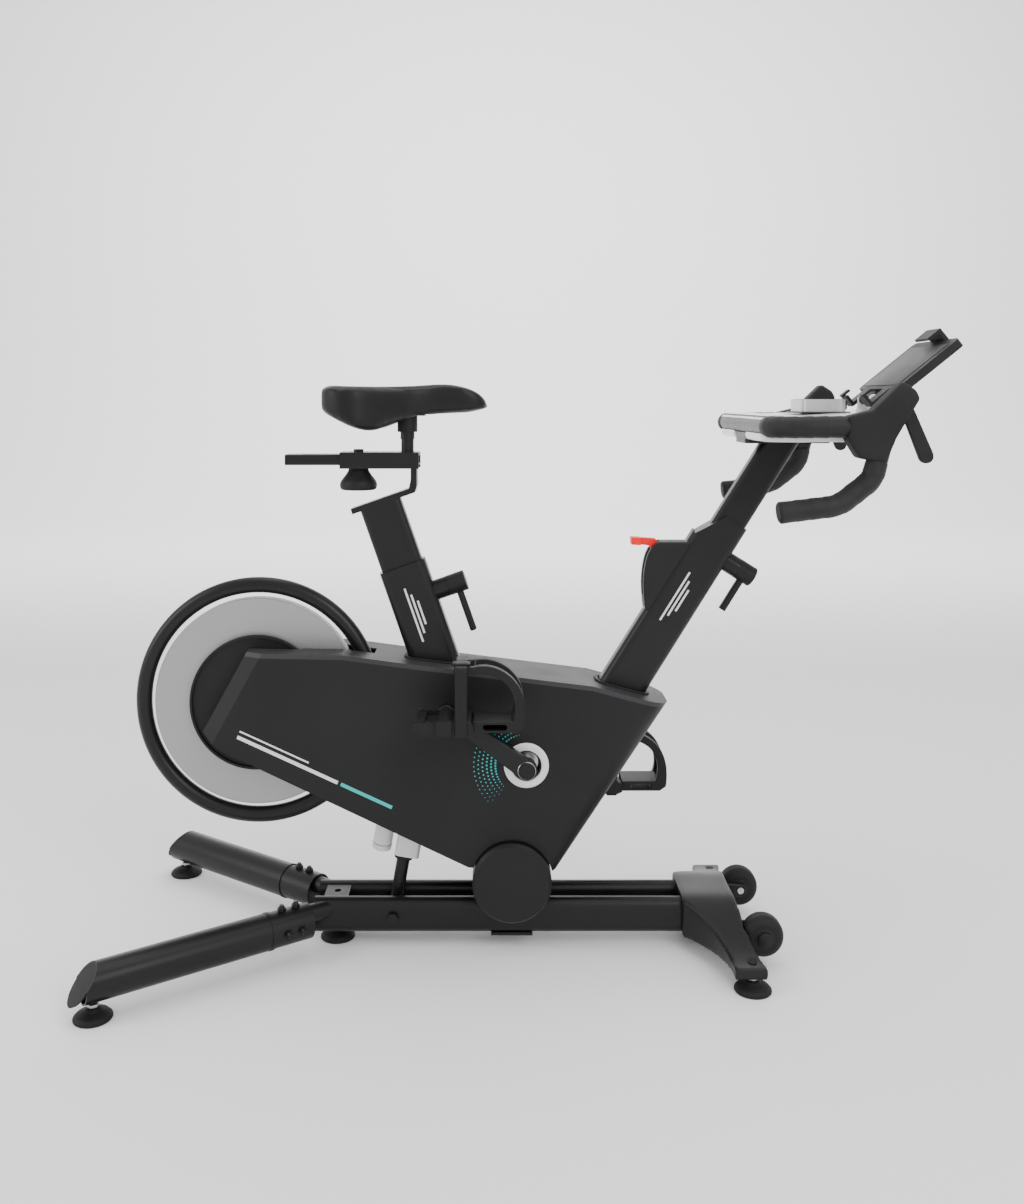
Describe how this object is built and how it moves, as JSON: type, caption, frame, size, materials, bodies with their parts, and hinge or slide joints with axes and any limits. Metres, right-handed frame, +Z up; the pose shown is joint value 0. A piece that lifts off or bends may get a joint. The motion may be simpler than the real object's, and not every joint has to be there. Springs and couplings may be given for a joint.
{
  "type": "exercise bike",
  "caption": "Indoor exercise bike whose frame tilts on a fixed base, with a large flywheel in front of a guard hoop, saddle, drop handlebar, console and sprung tablet holder.",
  "frame": {"origin": "on the floor, at the centre of the whole bike's length and width", "axes": "+X forward from saddle to handlebar, +Y to the rider's left, +Z up"},
  "size_m": [1.4738, 0.613, 1.0925],
  "materials": {
    "frame_black": "satin",
    "shroud_black": "satin",
    "shroud_grey": "satin",
    "wheel_silver": "turned, clear coated",
    "cast_silver": "painted light silver",
    "steel": "plain",
    "console_white": "gloss",
    "display_grey": "gloss",
    "lever_red": "gloss",
    "rubber": "matt",
    "saddle": "satin synthetic leather"
  },
  "bodies": {
    "base": {"base_frame": "frame_black", "rear_leg_left": "frame_black", "rear_leg_right": "frame_black", "leg_end_caps": "shroud_black", "base_bolts": "frame_black", "front_stabiliser": "frame_black", "wheel_axles": "steel", "pivot_shaft": "steel", "pivot_caps": "shroud_black"},
    "bike": {"main_frame": "frame_black", "bearings": "steel", "flywheel_axle": "steel", "seat_tube": "frame_black", "head_tube": "frame_black", "shroud_left": "shroud_black", "shroud_right": "shroud_black", "shroud_top": "shroud_grey", "hub_covers": "shroud_black", "flywheel_guard": "frame_black", "power_inlet": "shroud_black", "brake_cover": "shroud_black", "drive_belt": "rubber"},
    "actuator": {"actuator_gearbox": "cast_silver", "actuator_motor": "cast_silver"},
    "actuator_rod": {"actuator_rod": "frame_black"},
    "crank": {"crank_axle": "steel", "drive_pulley": "shroud_black", "crank_arm_left": "frame_black", "crank_arm_right": "frame_black"},
    "pedal_left": {"pedal_left": "shroud_black", "toe_cage_left": "shroud_black"},
    "pedal_right": {"pedal_right": "shroud_black", "toe_cage_right": "shroud_black"},
    "flywheel": {"flywheel": "wheel_silver", "flywheel_pulley": "steel"},
    "magnet_bracket": {"magnet_bracket": "frame_black"},
    "resistance_lever": {"resistance_lever": "lever_red"},
    "seat_post": {"seat_post": "frame_black"},
    "seat_clamp_lever": {"seat_clamp_lever": "shroud_black"},
    "seat_carriage": {"seat_carriage": "frame_black", "saddle_base": "shroud_black", "saddle_pad": "saddle"},
    "seat_knob": {"seat_knob": "shroud_black"},
    "bar_post": {"bar_post": "frame_black", "handlebar": "frame_black", "lever_hoods": "shroud_black", "console": "console_white", "display": "display_grey"},
    "bar_clamp_lever": {"bar_clamp_lever": "shroud_black"},
    "paddle_left": {"paddle_left": "shroud_black"},
    "paddle_right": {"paddle_right": "shroud_black"},
    "tablet_holder": {"tablet_holder": "shroud_black"},
    "tablet_clip": {"tablet_clip": "shroud_black"},
    "transport_wheel_left": {"transport_wheel_left": "rubber"},
    "transport_wheel_right": {"transport_wheel_right": "rubber"},
    "foot_rear_right": {"foot_rear_right": "rubber"},
    "foot_rear_left": {"foot_rear_left": "rubber"},
    "foot_middle": {"foot_middle": "rubber"},
    "foot_front_right": {"foot_front_right": "rubber"},
    "foot_front_left": {"foot_front_left": "rubber"}
  },
  "joints": [
    {"name": "incline", "type": "hinge", "parent": "base", "child": "bike", "pos_m": [-0.042, 0, 0.128], "axis": [0, -1, 0], "range_deg": [-5, 10]},
    {"name": "actuator_tilt", "type": "hinge", "parent": "bike", "child": "actuator", "pos_m": [-0.1994, 0, 0.3515], "axis": [0, -1, 0], "range_deg": [-4, 2.5]},
    {"name": "rod_slide", "type": "slide", "parent": "actuator", "child": "actuator_rod", "axis": [-0.1719, 0, -0.9851], "range_m": [-0.036, 0.018]},
    {"name": "flywheel_spin", "type": "hinge", "parent": "bike", "child": "flywheel", "pos_m": [-0.496, 0, 0.427], "axis": [0, 1, 0], "continuous": true},
    {"name": "crank_spin", "type": "hinge", "parent": "bike", "child": "crank", "pos_m": [-0.017, 0, 0.33], "axis": [0, 1, 0], "continuous": true},
    {"name": "pedal_left_spin", "type": "hinge", "parent": "crank", "child": "pedal_left", "pos_m": [0.12157, 0.15, 0.23152], "axis": [0, 1, 0], "continuous": true},
    {"name": "pedal_right_spin", "type": "hinge", "parent": "crank", "child": "pedal_right", "pos_m": [-0.15557, -0.15, 0.42848], "axis": [0, 1, 0], "continuous": true},
    {"name": "resistance", "type": "hinge", "parent": "bike", "child": "resistance_lever", "pos_m": [0.231, 0, 0.672], "axis": [0, -1, 0], "range_deg": [0, 30]},
    {"name": "magnet_tilt", "type": "hinge", "parent": "bike", "child": "magnet_bracket", "pos_m": [-0.262, 0, 0.384], "axis": [0, -1, 0], "range_deg": [0, 7.5]},
    {"name": "seat_height", "type": "slide", "parent": "bike", "child": "seat_post", "axis": [-0.3322, 0, 0.9432], "range_m": [-0.1, 0.1]},
    {"name": "seat_clamp", "type": "hinge", "parent": "bike", "child": "seat_clamp_lever", "pos_m": [-0.18298, 0, 0.62164], "axis": [0.9432, 0, 0.3322], "range_deg": [-170, 170]},
    {"name": "seat_slide", "type": "slide", "parent": "seat_post", "child": "seat_carriage", "axis": [-1, 0, 0], "range_m": [0, 0.095]},
    {"name": "seat_knob_turn", "type": "hinge", "parent": "seat_carriage", "child": "seat_knob", "pos_m": [-0.317, 0, 0.83], "axis": [0, 0, 1], "continuous": true},
    {"name": "bar_height", "type": "slide", "parent": "bike", "child": "bar_post", "axis": [0.5314, 0, 0.8471], "range_m": [-0.08, 0.1]},
    {"name": "bar_clamp", "type": "hinge", "parent": "bike", "child": "bar_clamp_lever", "pos_m": [0.33862, 0, 0.67891], "axis": [0.8471, 0, -0.5314], "range_deg": [-170, 170]},
    {"name": "paddle_left_press", "type": "hinge", "parent": "bar_post", "child": "paddle_left", "pos_m": [0.588, 0.226, 0.95], "axis": [0, 1, 0], "range_deg": [0, 12], "stiffness_Nm_per_rad": 0.6, "springref_deg": -17.19},
    {"name": "paddle_right_press", "type": "hinge", "parent": "bar_post", "child": "paddle_right", "pos_m": [0.588, -0.226, 0.95], "axis": [0, 1, 0], "range_deg": [0, 12], "stiffness_Nm_per_rad": 0.6, "springref_deg": -17.19},
    {"name": "tablet_tilt", "type": "hinge", "parent": "bar_post", "child": "tablet_holder", "pos_m": [0.6, 0, 0.966], "axis": [0, -1, 0], "range_deg": [-10, 25]},
    {"name": "clip_slide", "type": "slide", "parent": "tablet_holder", "child": "tablet_clip", "axis": [0.7793, 0, 0.6266], "range_m": [0, 0.05], "stiffness_N_per_m": 150, "springref_m": -0.02},
    {"name": "foot_rear_right_level", "type": "slide", "parent": "base", "child": "foot_rear_right", "axis": [0, 0, -1], "range_m": [0, 0.012]},
    {"name": "foot_rear_left_level", "type": "slide", "parent": "base", "child": "foot_rear_left", "axis": [0, 0, -1], "range_m": [0, 0.012]},
    {"name": "foot_middle_level", "type": "slide", "parent": "base", "child": "foot_middle", "axis": [0, 0, -1], "range_m": [0, 0.012]},
    {"name": "foot_front_right_level", "type": "slide", "parent": "base", "child": "foot_front_right", "axis": [0, 0, -1], "range_m": [0, 0.012]},
    {"name": "foot_front_left_level", "type": "slide", "parent": "base", "child": "foot_front_left", "axis": [0, 0, -1], "range_m": [0, 0.012]},
    {"name": "transport_wheel_left_roll", "type": "hinge", "parent": "base", "child": "transport_wheel_left", "pos_m": [0.386, 0.099, 0.051], "axis": [0, 1, 0], "continuous": true},
    {"name": "transport_wheel_right_roll", "type": "hinge", "parent": "base", "child": "transport_wheel_right", "pos_m": [0.386, -0.099, 0.051], "axis": [0, 1, 0], "continuous": true}
  ],
  "couplings": [
    {"joint": "actuator_tilt", "follows": "incline", "ratio": -0.347},
    {"joint": "rod_slide", "follows": "incline", "m_per_rad": -0.197},
    {"joint": "crank_spin", "follows": "flywheel_spin", "ratio": 0.25263},
    {"joint": "magnet_tilt", "follows": "resistance", "ratio": 0.25}
  ]
}
